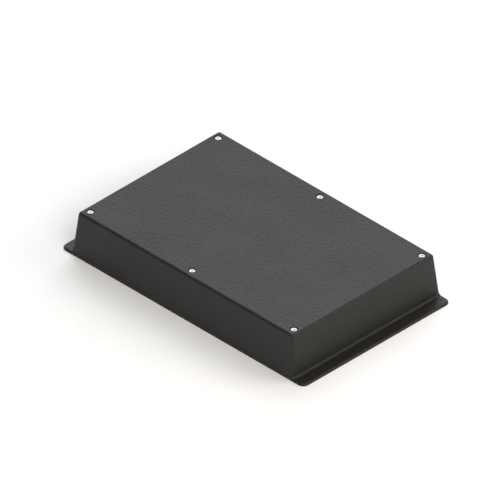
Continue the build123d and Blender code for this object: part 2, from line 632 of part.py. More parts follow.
def port_o_ring():
    """Rubber ring in the collar's groove, against the plate."""
    ring = Pos(PLATE_INNER_X + O_RING_SECTION, PORT_Y, PORT_HEIGHT) * Rot(0, 90, 0)
    return ring * Torus(O_RING_RADIUS, O_RING_SECTION)


def port_washer():
    """Toothed lock washer under the nut."""
    low = PLATE_OUTER_X - WASHER_THICKNESS
    ring = along_x(WASHER_RADIUS, low, PLATE_OUTER_X, PORT_Y, PORT_HEIGHT)
    ring -= along_x(PORT_THREAD_RADIUS + FIT, low - 1, PLATE_OUTER_X + 1, PORT_Y, PORT_HEIGHT)
    teeth = 16
    for i in range(teeth):
        turn = Pos(PLATE_OUTER_X, PORT_Y, PORT_HEIGHT) * Rot(360 / teeth * i, 0, 0)
        ring -= turn * Pos(0, 0, WASHER_RADIUS) * Box(3 * WASHER_THICKNESS, 1.0, 2.0)
    return ring


def port_nut():
    """Hexagon nut that clamps the socket to the plate."""
    high = PLATE_OUTER_X - WASHER_THICKNESS
    hexagon = RegularPolygon(NUT_FLATS / 2, 6, major_radius=False)
    nut = extrude(Plane((high, PORT_Y, PORT_HEIGHT), z_dir=(-1, 0, 0)) * hexagon, NUT_THICKNESS)
    crown = along_x(NUT_FLATS / 2 + 0.9, high - NUT_THICKNESS, high, PORT_Y, PORT_HEIGHT)
    nut = nut & chamfer(crown.edges().group_by(Axis.X)[0], 0.8)
    return nut - along_x(PORT_THREAD_RADIUS + FIT, high - NUT_THICKNESS - 1, high + 1, PORT_Y, PORT_HEIGHT)


def cable_radii(points):
    """The largest tangent arc that each corner's two runs leave room for."""
    radii = []
    for before, here, after in zip(points, points[1:], points[2:]):
        run_in = Vector(*here) - Vector(*before)
        run_out = Vector(*after) - Vector(*here)
        turn = math.radians(run_in.get_angle(run_out))
        radii.append(0.45 * min(run_in.length, run_out.length) / math.tan(turn / 2))
    return radii


def feed_cable():
    """Coaxial lead from the socket's barrel, along the base, up into the balun case."""
    radii = cable_radii(CABLE_ROUTE)
    path = FilletPolyline(*CABLE_ROUTE, radius=radii)
    lead = sweep(Plane(path @ 0, z_dir=path % 0) * Circle(CABLE_RADIUS), path)
    plain_volume = math.pi * CABLE_RADIUS**2 * path.length
    print("cable radii", [round(radius, 1) for radius in radii])
    print("cable length", round(path.length, 1), "volume ratio", round(lead.volume / plain_volume, 6))
    return lead


def cable_clip(x):
    """Moulded clip on the base plate that the cable lies in."""
    y = PORT_Y - CABLE_SIDESTEP
    height = CABLE_LOW + CABLE_RADIUS + CLIP_LIP - BASE_THICKNESS
    block = box(CLIP_LENGTH, CLIP_WIDTH, height, BASE_THICKNESS, (x, y))
    block = fillet(block.edges().filter_by(Axis.X).group_by(Axis.Z)[-1], 1.5)
    block -= along_x(CABLE_RADIUS + FIT, x - CLIP_LENGTH, x + CLIP_LENGTH, y, CABLE_LOW)
    return block - box(CLIP_LENGTH + 2, CLIP_MOUTH, CLIP_WIDTH, CABLE_LOW, (x, y))


def cable_grommet():
    """Rubber sleeve where the cable enters the balun case."""
    middle = (CASE_WIDTH - CASE_WALL) / 2
    lip_y = (CASE_WIDTH + GROMMET_LIP) / 2
    ring = along_y(GROMMET_RADIUS, CASE_WALL, DIPOLE_X, CABLE_ENTRY_Z, middle)
    ring += along_y(GROMMET_LIP_RADIUS, GROMMET_LIP, DIPOLE_X, CABLE_ENTRY_Z, lip_y)
    return ring - along_y(CABLE_RADIUS + FIT, 4 * CASE_WALL, DIPOLE_X, CABLE_ENTRY_Z, middle)


def element_screws():
    """One screw down through each element's middle into the boom."""
    low = BOOM_TOP - BOOM_WALL - 1.0
    rod_top = ROD_HEIGHT + ROD_RADIUS
    screws = [small_screw(low, rod_top, (REAR_BAR_X, 0))]
    for x in [REFLECTOR[0]] + [x for x, _ in DIRECTORS]:
        screws.append(small_screw(low, rod_top + SADDLE_CROWN, (x, 0)))
    return screws


def build():
    """Every named piece of the antenna, as one shape or a list of separate shapes."""
    nodes = {"radome": radome(), "screw_seals": screw_seals()}
    for number, place in enumerate(SCREW_PLACES, 1):
        nodes[f"cover_screw_{number}"] = cover_screw(*place)
    nodes["base_plate"] = base_plate()
    nodes["base_gasket"] = base_gasket()
    nodes["pillar_inserts"] = [pillar_insert(place) for place in SCREW_PLACES]
    nodes["mount_inserts"] = [mount_insert(place) for place in mount_places()]
    nodes["boom"] = boom()
    nodes["boom_rear_plug"] = boom_plug(BOOM_BACK, -1)
    nodes["boom_front_plug"] = boom_plug(BOOM_FRONT, 1)
    for name, x in zip(("rear", "front"), CRADLE_X):
        nodes[f"{name}_cradle"] = boom_cradle(x)
        nodes[f"{name}_strap"] = boom_strap(x)
    strap_seat = EAR_TOP + STRAP_THICKNESS
    nodes["strap_screws"] = [small_screw(SMALL_SCREW_START, strap_seat, p) for p in strap_screw_places()]
    nodes["reflector"] = rod(*REFLECTOR)
    nodes["reflector_saddle"] = saddle(REFLECTOR[0])
    nodes["folded_dipole"] = folded_dipole()
    nodes["dipole_saddle"] = dipole_saddle()
    for number, (x, length) in enumerate(DIRECTORS, 1):
        nodes[f"director_{number}"] = rod(x, length)
        nodes[f"director_{number}_saddle"] = saddle(x)
    nodes["element_screws"] = element_screws()
    nodes["balun_case"] = balun_case()
    nodes["balun_lid"] = balun_lid()
    nodes["balun_board"] = balun_board()
    nodes["balun_transformer"] = box(*TRANSFORMER, BOARD_TOP, (DIPOLE_X + 1.0, -TRANSFORMER[1] / 2))
    nodes["terminal_posts"] = [terminal_post(place) for place in terminal_places()]
    rod_top = ROD_HEIGHT + ROD_RADIUS
    nodes["terminal_screws"] = [small_screw(BOARD_BOTTOM, rod_top, place) for place in terminal_places()]
    nodes["connector_plate"] = connector_plate()
    nodes["connector_seal"] = connector_seal()
    nodes["plate_screws"] = [small_screw(SMALL_SCREW_START, FOOT_TOP, p) for p in foot_screw_places()]
    nodes["port_body"] = port_body()
    nodes["port_insulator"] = port_insulator()
    nodes["port_contact"] = port_contact()
    nodes["port_o_ring"] = port_o_ring()
    nodes["port_washer"] = port_washer()
    nodes["port_nut"] = port_nut()
    nodes["feed_cable"] = feed_cable()
    nodes["cable_clip"] = cable_clip(CLIP_X)
    nodes["cable_grommet"] = cable_grommet()
    return nodes


def main():
    """Writes one STEP file for each named piece."""
    os.makedirs("parts", exist_ok=True)
    for name, shape in build().items():
        if isinstance(shape, list):
            shape = Compound(children=shape)
        export_step(shape, f"parts/{name}.step")


if __name__ == "__main__":
    main()
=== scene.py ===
"""Looks and studio for an enclosed Yagi antenna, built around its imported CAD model.

Laid out as a Blender add-on. The CAD nodes keep their meshes and get materials here. The screws, the
coaxial socket's shell and the bracket inserts are replaced by finer meshes with real threads.
"""

import math

import bmesh
import bpy
from mathutils import Matrix, Vector


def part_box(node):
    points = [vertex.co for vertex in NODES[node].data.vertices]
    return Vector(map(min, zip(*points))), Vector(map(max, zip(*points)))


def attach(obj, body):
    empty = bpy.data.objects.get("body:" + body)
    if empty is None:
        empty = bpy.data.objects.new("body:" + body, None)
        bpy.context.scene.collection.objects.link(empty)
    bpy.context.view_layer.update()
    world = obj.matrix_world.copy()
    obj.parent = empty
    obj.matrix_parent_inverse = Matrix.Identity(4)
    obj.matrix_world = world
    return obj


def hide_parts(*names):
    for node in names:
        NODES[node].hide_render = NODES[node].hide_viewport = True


bl_info = {
    "name": "Enclosed Yagi antenna",
    "version": (1, 0, 0),
    "blender": (4, 5, 0),
    "location": "View3D > Sidebar > Antenna",
    "description": "Finishes the pieces of a flanged radome antenna and sets up its studio",
    "category": "Object",
}

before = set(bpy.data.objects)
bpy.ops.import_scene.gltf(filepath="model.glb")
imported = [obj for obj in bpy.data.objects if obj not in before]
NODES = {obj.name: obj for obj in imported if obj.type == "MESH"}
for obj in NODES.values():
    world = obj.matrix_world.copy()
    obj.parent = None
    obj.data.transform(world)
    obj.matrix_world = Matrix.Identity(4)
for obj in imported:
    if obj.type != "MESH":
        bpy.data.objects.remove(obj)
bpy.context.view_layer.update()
MM = 0.001

COVER_HEAD_HEIGHT = 2.4 * MM
SMALL_HEAD_HEIGHT = 1.9 * MM
SMALL_SCREW_RADIUS = 1.5 * MM
CROSS_TURN = math.radians(45)  # of the cover screws' driver recess

FLOOR_REACH = 4.0  # metres from the antenna to each edge
FLOOR_DROP = 0.2 * MM  # keeps the floor clear of the underside
CAMERA_DISTANCE = 2.0

# Places of the Mix node's sockets, whose names repeat between its data types.
MIX_FACTOR = 0
MIX_NUMBER_A = 2
MIX_NUMBER_B = 3
MIX_COLOUR_A = 6
MIX_COLOUR_B = 7
MIX_NUMBER_OUT = 0
MIX_COLOUR_OUT = 2


def linear_colour(hex_value):
    """Turns an sRGB hex colour into linear RGB."""
    channels = [int(hex_value[i : i + 2], 16) / 255 for i in (1, 3, 5)]
    return tuple(c / 12.92 if c <= 0.04045 else ((c + 0.055) / 1.055) ** 2.4 for c in channels)


def colour_property(name, hex_value, description):
    """A colour that a user can change, with its default as linear RGB."""
    default = linear_colour(hex_value)
    return bpy.props.FloatVectorProperty(
        name=name, description=description, default=default, subtype="COLOR", size=3, min=0, max=1
    )


def length_property(name, millimetres, description):
    """A length that a user can change, stored in metres."""
    return bpy.props.FloatProperty(
        name=name, description=description, default=millimetres * MM, unit="LENGTH", precision=5, min=0
    )


def strength_property(name, strength, description):
    """A light's strength that a user can change."""
    return bpy.props.FloatProperty(name=name, description=description, default=strength, min=0)


class AntennaColours(bpy.types.PropertyGroup):
    """Colours of the finishes."""

    radome: colour_property("Radome", "#1E1D1B", "Black textured ASA of the radome")
    base: colour_property("Base", "#262627", "Black satin ABS of the base plate")
    rubber: colour_property("Rubber", "#1C1C1D", "EPDM of seals and grommet")
    fittings: colour_property("Fittings", "#242426", "Acetal of cradles, plugs and clip")
    saddles: colour_property("Saddles", "#C9C5B8", "Natural nylon of the element saddles")
    balun: colour_property("Balun case", "#4A4C50", "Grey ABS of the balun case")
    board: colour_property("Circuit board", "#1E5A34", "Solder mask of the balun board")
    ferrite: colour_property("Ferrite", "#2E2E32", "Ground ferrite of the transformer")
    insulator: colour_property("Insulator", "#EDEBE4", "PTFE of the socket's bead")
    jacket: colour_property("Cable jacket", "#181819", "PVC jacket of the feed cable")
    brass: colour_property("Brass", "#C9A45A", "Machined brass of the inserts")
    gold: colour_property("Gold plate", "#DDB25A", "Gold plate of the centre contact")
    nickel: colour_property("Nickel plate", "#BDB7AB", "Nickel plate of socket, nut and washer")
    steel: colour_property("Stainless steel", "#B8B9BB", "Screws")
    zinc: colour_property("Zinc plate", "#B9BDC2", "Boom straps")
    aluminium: colour_property("Aluminium", "#C8CACD", "Boom, elements and connector plate")
    floor: colour_property("Floor", "#FDFDFD", "Studio paper")


class AntennaSizes(bpy.types.PropertyGroup):
    """Sizes of patterns and of the fine pieces."""

    grain: length_property("Mould grain", 2.4, "Size of one grain of the radome's mould texture")
    fine_grain: length_property("Fine grain", 0.5, "Grain of the smoother moulded pieces")
    radome_drift: length_property("Radome drift", 45, "Size of the slow changes of the radome's gloss")
    plastic_drift: length_property("Plastic drift", 30, "Size of the flow marks of the smoother pieces")
    bloom: length_property("Rubber bloom", 6, "Size of the dusty patches on the rubber")
    cover_screw_pitch: length_property("Cover screw pitch", 0.6, "Thread pitch of the M3.5 cover screws")
    small_screw_pitch: length_property("Small screw pitch", 0.5, "Thread pitch of the M3 screws inside")
    insert_pitch: length_property("Insert pitch", 0.8, "Thread pitch of the M5 bracket inserts")
    socket_pitch: length_property("Socket pitch", 1.058, "Pitch of the socket's 24 threads to the inch")


class AntennaStage(bpy.types.PropertyGroup):
    """The studio."""

    view_width: length_property("View width", 466.2, "Width that the camera takes in")
    azimuth: bpy.props.FloatProperty(
        name="Azimuth",
        description="Camera's turn from -Y towards +X",
        default=math.radians(45),
        subtype="ANGLE",
    )
    elevation: bpy.props.FloatProperty(
        name="Elevation",
        description="Camera's height angle, the isometric one",
        default=math.atan(math.sqrt(0.5)),
        subtype="ANGLE",
    )
    aim_left: length_property("Aim left", 5.60, "How far left of the origin the camera aims")
    aim_up: length_property("Aim up", 23.59, "How far above the origin the camera aims")
    sky: strength_property("Sky", 0.26, "Strength of the even light all round")
    back_panel: strength_property("Back panel", 43.0, "Strength of the soft panel behind the antenna")
    side_panel: strength_property("Side panel", 33.0, "Strength of the soft panel off the far right")
    front_panel: strength_property("Front panel", 58.0, "Strength of the soft panel on the camera's side")
    overhead_panel: strength_property("Overhead panel", 8.0, "Strength of the soft panel overhead")


def add_node(tree, kind, values=None, links=None):
    """Adds a node; values go to its inputs or settings, links join other nodes' outputs to its inputs."""
    node = tree.nodes.new(kind)
    for key, value in (values or {}).items():
        if isinstance(key, str) and hasattr(node, key):
            setattr(node, key, value)
        else:
            node.inputs[key].default_value = value
    for key, output in (links or {}).items():
        tree.links.new(output, node.inputs[key])
    return node


def new_material(name, colour, roughness, sockets=None):
    """A material with one Principled shader; returns the material, its tree and the shader."""
    material = bpy.data.materials.new(name)
    material.use_nodes = True
    tree = material.node_tree
    tree.nodes.clear()
    values = {"Base Color": (*colour, 1), "Roughness": roughness, **(sockets or {})}
    shader = add_node(tree, "ShaderNodeBsdfPrincipled", values)
    add_node(tree, "ShaderNodeOutputMaterial", links={"Surface": shader.outputs["BSDF"]})
    material.diffuse_color = (*colour, 1)
    return material, tree, shader


def place_in_object(tree, stretch=(1, 1, 1)):
    """Coordinates in metres on the piece, stretched along its axes."""
    coordinates = add_node(tree, "ShaderNodeTexCoord").outputs["Object"]
    return add_node(tree, "ShaderNodeMapping", {"Scale": stretch}, {"Vector": coordinates}).outputs["Vector"]


def noise(tree, place, size, detail=3.0, rough=0.55):
    """Noise whose blotches are about the given size in metres."""
    values = {"Scale": 1 / size, "Detail": detail, "Roughness": rough}
    return add_node(tree, "ShaderNodeTexNoise", values, {"Vector": place}).outputs["Fac"]


def combine(tree, operation, first, second):
    """The sum or product of two patterns."""
    return add_node(tree, "ShaderNodeMath", {"operation": operation}, {0: first, 1: second}).outputs[0]


def tone(tree, factor, low, high, dark_end=0.3, light_end=0.7):
    """Maps a pattern's middle range, from its dark end to its light end, onto the range from low to high."""
    values = {"From Min": dark_end, "From Max": light_end, "To Min": low, "To Max": high}
    return add_node(tree, "ShaderNodeMapRange", values, {"Value": factor}).outputs["Result"]


def vary_colour(tree, shader, factor, colour, dark, light):
    """Lets a pattern darken and lighten a colour between two factors."""
    low = tuple(c * dark for c in colour)
    high = tuple(min(1, c * light) for c in colour)
    values = {"data_type": "RGBA", MIX_COLOUR_A: (*low, 1), MIX_COLOUR_B: (*high, 1)}
    mix = add_node(tree, "ShaderNodeMix", values, {MIX_FACTOR: tone(tree, factor, 0, 1)})
    tree.links.new(mix.outputs[MIX_COLOUR_OUT], shader.inputs["Base Color"])


def vary_roughness(tree, shader, factor, low, high):
    """Lets a pattern drive the roughness between two values."""
    tree.links.new(tone(tree, factor, low, high), shader.inputs["Roughness"])


def raise_grain(tree, shader, factor, strength, depth):
    """Turns a pattern into relief of the given depth in metres."""
    bump = add_node(tree, "ShaderNodeBump", {"Strength": strength, "Distance": depth}, {"Height": factor})
    tree.links.new(bump.outputs["Normal"], shader.inputs["Normal"])


def level_share(tree, upright, level):
    """A factor that is one value on upright faces and another on level ones, with a soft change between."""
    facing = add_node(tree, "ShaderNodeTexCoord").outputs["Normal"]
    height = add_node(tree, "ShaderNodeSeparateXYZ", links={"Vector": facing}).outputs["Z"]
    return tone(tree, height, upright, level, 0.2, 0.9)


def textured_asa(colours, sizes):
    """Black ASA, moulded in a spark-eroded tool: an even, dry grain that breaks up a broad, weak sheen.

    The grain is shallower on the drafted walls, which have to slide out of the tool.
    """
    colour = colours.radome
    sockets = {"IOR": 1.50, "Specular IOR Level": 0.31}
    material, tree, shader = new_material("textured_asa", colour, 0.5, sockets)
    place = place_in_object(tree)
    share = level_share(tree, 0.35, 1.0)  # of the grain's full depth, on the walls and on level faces
    # The real grain is about 0.3 mm. It is drawn coarser, so that it still shows on the whole antenna.
    pattern = noise(tree, place, sizes.grain, 2.0, 0.6)
    cell_values = {"feature": "SMOOTH_F1", "Scale": 1 / sizes.grain}
    cells = add_node(tree, "ShaderNodeTexVoronoi", cell_values, {"Vector": place})
    relief = combine(tree, "ADD", pattern, cells.outputs["Distance"])
    even = {"data_type": "FLOAT", MIX_NUMBER_A: 0.5}
    faded = add_node(tree, "ShaderNodeMix", even, {MIX_FACTOR: share, MIX_NUMBER_B: pattern})
    grain = faded.outputs[MIX_NUMBER_OUT]
    drift = noise(tree, place, sizes.radome_drift, 2.0, 0.5)
    vary_colour(tree, shader, grain, colour, 0.55, 1.45)
    roughness = combine(tree, "ADD", tone(tree, grain, 0.38, 0.60), tone(tree, drift, -0.02, 0.02))
    tree.links.new(roughness, shader.inputs["Roughness"])
    raise_grain(tree, shader, combine(tree, "MULTIPLY", relief, share), 0.8, 0.35 * MM)
    return material


def moulded_plastic(name, colour, sizes, roughness, specular=0.45):
    """Satin moulded plastic: a faint tool texture and a slight drift of gloss where the melt flowed."""
    sockets = {"IOR": 1.50, "Specular IOR Level": specular}
    material, tree, shader = new_material(name, colour, roughness, sockets)
    place = place_in_object(tree)
    drift = noise(tree, place, sizes.plastic_drift, 3.0, 0.5)
    vary_colour(tree, shader, drift, colour, 0.93, 1.07)
    vary_roughness(tree, shader, drift, roughness - 0.05, roughness + 0.05)
    raise_grain(tree, shader, noise(tree, place, sizes.fine_grain, 2.0, 0.6), 0.25, 0.05 * MM)
    return material


def moulded_rubber(name, colour, sizes):
    """EPDM rubber, moulded: nearly black and dull, with a dusty bloom in patches."""
    sockets = {"IOR": 1.52, "Specular IOR Level": 0.35}
    material, tree, shader = new_material(name, colour, 0.75, sockets)
    place = place_in_object(tree)
    bloom = noise(tree, place, sizes.bloom, 4.0, 0.6)
    vary_colour(tree, shader, bloom, colour, 0.85, 1.35)
    raise_grain(tree, shader, noise(tree, place, sizes.fine_grain, 2.0, 0.6), 0.3, 0.04 * MM)
    return material


def drawn_metal(name, colour, roughness, along, line_size):
    """Metal drawn or extruded along one axis: fine die lines that stretch the highlights across them."""
    material, tree, shader = new_material(name, colour, roughness, {"Metallic": 1.0})
    stretch = tuple(0.02 if axis == along else 1.0 for axis in "XYZ")
    lines = noise(tree, place_in_object(tree, stretch), line_size, 2.0, 0.6)
    stains = noise(tree, place_in_object(tree), 18 * MM, 4.0, 0.55)
    vary_colour(tree, shader, stains, colour, 0.93, 1.04)
    vary_roughness(tree, shader, lines, roughness - 0.07, roughness + 0.09)
    raise_grain(tree, shader, lines, 0.25, 0.02 * MM)
    return material


def plated_metal(name, colour, roughness, size):
    """Turned or pressed metal under a plate: bright, with slight orange peel and dull spots."""
    material, tree, shader = new_material(name, colour, roughness, {"Metallic": 1.0})
    place = place_in_object(tree)
    spots = noise(tree, place, size, 4.0, 0.6)
    vary_colour(tree, shader, spots, colour, 0.90, 1.06)
    vary_roughness(tree, shader, spots, roughness - 0.06, roughness + 0.10)
    raise_grain(tree, shader, noise(tree, place, size / 4, 2.0, 0.5), 0.2, 0.02 * MM)
    return material


def solder_masked_board(colour):
    """Glass-epoxy board under green solder mask: glossy, with the glass weave faintly under it."""
    sockets = {"IOR": 1.52, "Coat Weight": 0.4}
    material, tree, shader = new_material("solder_masked_board", colour, 0.28, sockets)
    thread_spacing = 0.5 * MM
    bands = {"wave_type": "BANDS", "bands_direction": "DIAGONAL"}
    bands["Scale"] = 1 / (2 * math.pi * thread_spacing)
    weave = add_node(tree, "ShaderNodeTexWave", bands, {"Vector": place_in_object(tree)}).outputs["Fac"]
    vary_colour(tree, shader, weave, colour, 0.9, 1.1)
    raise_grain(tree, shader, weave, 0.15, 0.01 * MM)
    return material


def seamless_paper(colour):
    """Matt studio paper: even, with the faintest mottle of its fibres."""
    material, tree, shader = new_material("seamless_paper", colour, 0.9, {"Specular IOR Level": 0.1})
    mottle = noise(tree, place_in_object(tree), 60 * MM, 3.0, 0.5)
    vary_colour(tree, shader, mottle, colour, 0.99, 1.01)
    return material


def finish(node, material):
    """Gives a CAD node one material in every slot."""
    mesh = NODES[node].data
    mesh.materials.clear()
    mesh.materials.append(material)


def smooth_by_angle(obj, degrees):
    """Shades an object smooth, with sharp edges over an angle."""
    mesh = obj.data
    mesh.polygons.foreach_set("use_smooth", [True] * len(mesh.polygons))
    mesh.set_sharp_from_angle(angle=math.radians(degrees))


def rings(points, segments):
    """Builds a surface of revolution round Z from (radius, height) points as a new bmesh."""
    shape = bmesh.new()
    loops = []
    for radius, height in points:
        if radius < 1e-9:
            loops.append([shape.verts.new((0, 0, height))])
            continue
        turn = [2 * math.pi * i / segments for i in range(segments)]
        loops.append([shape.verts.new((radius * math.cos(a), radius * math.sin(a), height)) for a in turn])
    for lower, upper in zip(loops, loops[1:]):
        for i in range(segments):
            j = (i + 1) % segments
            corners = [lower[i % len(lower)], lower[j % len(lower)]]
            corners += [upper[j % len(upper)], upper[i % len(upper)]]
            distinct = list(dict.fromkeys(corners))
            if len(distinct) > 2:
                shape.faces.new(distinct)
    return shape


def add_thread(shape, root, crest, pitch, low, high, segments):
    """Adds a helical thread between two heights; crest is larger than root outside, smaller in a bore."""
    # One turn's outline: shares of the pitch with the radius there, so root and crest each have a flat.
    profile = ((0.0, root), (0.12, root), (0.5, crest), (0.62, crest))
    turns = math.ceil((high - low) / pitch) + 1
    rows = []
    for turn in range(-1, turns + 1):
        for offset, radius in profile:
            row = []
            for i in range(segments):
                height = low + pitch * (turn + offset + i / segments)
                reach = radius if low < height < high else root
                height = min(max(height, low), high)
                angle = 2 * math.pi * i / segments
                row.append(shape.verts.new((reach * math.cos(angle), reach * math.sin(angle), height)))
            rows.append(row)
    step = len(profile)
    for k in range(len(rows) - 1):
        for i in range(segments):
            if i < segments - 1:
                far_low, far_high = rows[k][i + 1], rows[k + 1][i + 1]
            elif k + 1 + step < len(rows):
                far_low, far_high = rows[k + step][0], rows[k + 1 + step][0]
            else:
                continue
            shape.faces.new([rows[k][i], far_low, far_high, rows[k + 1][i]])


def close_up(shape):
    """Merges the seams of a bmesh, drops collapsed faces and turns the faces outward."""
    bmesh.ops.remove_doubles(shape, verts=shape.verts, dist=1e-7)
    bmesh.ops.dissolve_degenerate(shape, dist=1e-7, edges=shape.edges)
    bmesh.ops.recalc_face_normals(shape, faces=shape.faces)


def to_object(shape, name, material):
    """Turns a bmesh into a linked object."""
    mesh = bpy.data.meshes.new(name)
    shape.to_mesh(mesh)
    shape.free()
    mesh.materials.append(material)
    obj = bpy.data.objects.new(name, mesh)
    bpy.context.scene.collection.objects.link(obj)
    return obj


def apply_modifiers(obj):
    """Replaces an object's mesh by its evaluated one."""
    bpy.context.view_layer.update()
    graph = bpy.context.evaluated_depsgraph_get()
    mesh = bpy.data.meshes.new_from_object(obj.evaluated_get(graph))
    obj.modifiers.clear()
    obj.data = mesh


def arc_points(centre_r, centre_z, radius_r, radius_z, start, end, steps):
    """Points of an elliptical arc in the (radius, height) plane, angles in degrees."""
    points = []
    for i in range(steps + 1):
        angle = math.radians(start + (end - start) * i / steps)
        points.append((centre_r + radius_r * math.cos(angle), centre_z + radius_z * math.sin(angle)))
    return points


def cross_tool(reach, width, depth, top):
    """Driver recess: four wings that narrow and shorten with depth, and a short cone under them."""
    shape = bmesh.new()
    # Each level has its height, and its shares of the full reach and width.
    levels = ((top + depth * 0.2, 1.08, 1.05), (top - depth * 0.75, 0.62, 0.7), (top - depth, 0.2, 0.5))
    loops = []
    for height, reach_factor, width_factor in levels:
        far = reach / 2 * reach_factor
        near = width / 2 * width_factor
        near_corner = near * 1.35  # rounds the corner between two wings
        loop = []
        for quarter in range(4):
            angle = math.pi / 2 * quarter
            for x, y in ((max(far, near), -near), (max(far, near), near), (near_corner, near_corner)):
                turned = Vector((x, y)).to_3d()
                turned.rotate(Matrix.Rotation(angle, 3, "Z"))
                loop.append(shape.verts.new((turned.x, turned.y, height)))
        loops.append(loop)
    for lower, upper in zip(loops, loops[1:]):
        for i in range(len(lower)):
            j = (i + 1) % len(lower)
            shape.faces.new([lower[i], lower[j], upper[j], upper[i]])
    shape.faces.new(loops[0])
    shape.faces.new(list(reversed(loops[-1])))
    bmesh.ops.recalc_face_normals(shape, faces=shape.faces)
    return shape


def pan_screw(name, radius, head_radius, head_height, length, pitch, material):
    """A pan-head cross-recess screw with a real thread, its head's underside at height 0."""
    segments = 36
    root = radius * 0.78
    neck = -pitch
    tip = -length
    thread_end = tip + root * 0.4
    side = head_height * 0.42
    rim = head_height * 0.9 - side
    # From the neck outward and over the crown, as shares of the head's own radius and height.
    head = [(root, neck), (radius * 0.9, neck * 0.4), (radius, 0)]
    head += [(head_radius * 0.97, 0), (head_radius, side * 0.15)]
    head += arc_points(head_radius * 0.78, side, head_radius * 0.22, rim, 0, 75, 6)
    head += [(head_radius * 0.6, head_height * 0.965), (head_radius * 0.3, head_height), (0, head_height)]
    shape = rings(head, segments)
    point = rings([(0, tip), (root * 0.6, tip), (root, thread_end)], segments)
    spare = bpy.data.meshes.new("point")
    point.to_mesh(spare)
    point.free()
    shape.from_mesh(spare)
    bpy.data.meshes.remove(spare)
    add_thread(shape, root, radius, pitch, thread_end, neck, segments)
    close_up(shape)
    screw = to_object(shape, name, material)
    recess = cross_tool(head_radius * 1.16, head_radius * 0.27, head_height * 0.62, head_height)
    tool = to_object(recess, "tool", material)
    cut = screw.modifiers.new("recess", "BOOLEAN")
    cut.operation = "DIFFERENCE"
    cut.solver = "EXACT"
    cut.object = tool
    edge = screw.modifiers.new("edges", "BEVEL")
    edge.width = head_radius * 0.02
    edge.segments = 2
    edge.limit_method = "ANGLE"
    edge.angle_limit = math.radians(40)
    apply_modifiers(screw)
    bpy.data.objects.remove(tool)
    smooth_by_angle(screw, 32)
    return screw


def middle_of(low, high, height):
    """The point in the middle of a box seen from above, at the given height."""
    return Vector(((low.x + high.x) / 2, (low.y + high.y) / 2, height))


def stand_in(piece, node, body):
    """Lets a finer piece ride on a body in the place of a CAD node, and hides that node."""
    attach(piece, body)
    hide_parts(node)


def copies_of(pattern, name, places):
    """One object that holds a copy of a pattern at each place, upright."""
    shape = bmesh.new()
    for place in places:
        first = len(shape.verts)
        shape.from_mesh(pattern.data)
        shape.verts.ensure_lookup_table()
        bmesh.ops.translate(shape, verts=shape.verts[first:], vec=place)
    mesh = pattern.data.copy()
    shape.to_mesh(mesh)
    shape.free()
    mesh.name = name
    obj = bpy.data.objects.new(name, mesh)
    bpy.context.scene.collection.objects.link(obj)
    return obj


def islands(node):
    """(lowest corner, highest corner) of each separate solid of a CAD node, in a fixed order."""
    shape = bmesh.new()
    shape.from_mesh(NODES[node].data)
    bmesh.ops.remove_doubles(shape, verts=shape.verts, dist=1e-6)
    left = set(shape.verts)
    boxes = []
    while left:
        stack = [left.pop()]
        found = []
        while stack:
            vertex = stack.pop()
            found.append(vertex.co.copy())
            for edge in vertex.link_edges:
                other = edge.other_vert(vertex)
                if other in left:
                    left.remove(other)
                    stack.append(other)
        low = Vector([min(c[i] for c in found) for i in range(3)])
        high = Vector([max(c[i] for c in found) for i in range(3)])
        boxes.append((low, high))
    shape.free()
    return sorted(boxes, key=lambda box: (round(box[0].x, 4), round(box[0].y, 4)))


def settings(context):
    """The scene's colours and sizes."""
    return context.scene.antenna_colours, context.scene.antenna_sizes


class ANTENNA_OT_radome(bpy.types.Operator):
    """Finishes the radome in textured ASA"""

    bl_idname = "antenna.radome"
    bl_label = "Radome"
    bl_options = {"REGISTER", "UNDO"}

    def execute(self, context):
        colours, sizes = settings(context)
        finish("radome", textured_asa(colours, sizes))
        return {"FINISHED"}


class ANTENNA_OT_base(bpy.types.Operator):
    """Finishes the base plate in satin ABS"""

    bl_idname = "antenna.base"
    bl_label = "Base plate"
    bl_options = {"REGISTER", "UNDO"}

    def execute(self, context):
        colours, sizes = settings(context)
        finish("base_plate", moulded_plastic("satin_abs", colours.base, sizes, 0.48))
        return {"FINISHED"}


class ANTENNA_OT_seals(bpy.types.Operator):
    """Finishes the gasket, seals, O-ring and grommet in EPDM rubber"""

    bl_idname = "antenna.seals"
    bl_label = "Seals"
    bl_options = {"REGISTER", "UNDO"}

    def execute(self, context):
        colours, sizes = settings(context)
        rubber = moulded_rubber("epdm_rubber", colours.rubber, sizes)
        for node in ("base_gasket", "screw_seals", "connector_seal", "port_o_ring", "cable_grommet"):
            finish(node, rubber)
        return {"FINISHED"}


class ANTENNA_OT_cover_screws(bpy.types.Operator):
    """Makes the six cover screws, each on its own turning body"""

    bl_idname = "antenna.cover_screws"
    bl_label = "Cover screws"
    bl_options = {"REGISTER", "UNDO"}

    def execute(self, context):
        colours, sizes = settings(context)
        steel = plated_metal("polished_stainless", colours.steel, 0.2, 2 * MM)
        low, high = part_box("cover_screw_1")
        head_radius = (high.x - low.x) / 2
        shank_radius = head_radius / 2
        length = high.z - low.z - COVER_HEAD_HEIGHT
        pitch = sizes.cover_screw_pitch
        pattern = pan_screw("screw", shank_radius, head_radius, COVER_HEAD_HEIGHT, length, pitch, steel)
        pattern.data.transform(Matrix.Rotation(CROSS_TURN, 4, "Z"))
        for number in range(1, 7):
            low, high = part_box(f"cover_screw_{number}")
            place = middle_of(low, high, high.z - COVER_HEAD_HEIGHT)
            piece = copies_of(pattern, f"pan_head_screw_{number}", [place])
            stand_in(piece, f"cover_screw_{number}", f"screw_{number}")
        bpy.data.objects.remove(pattern)
        return {"FINISHED"}


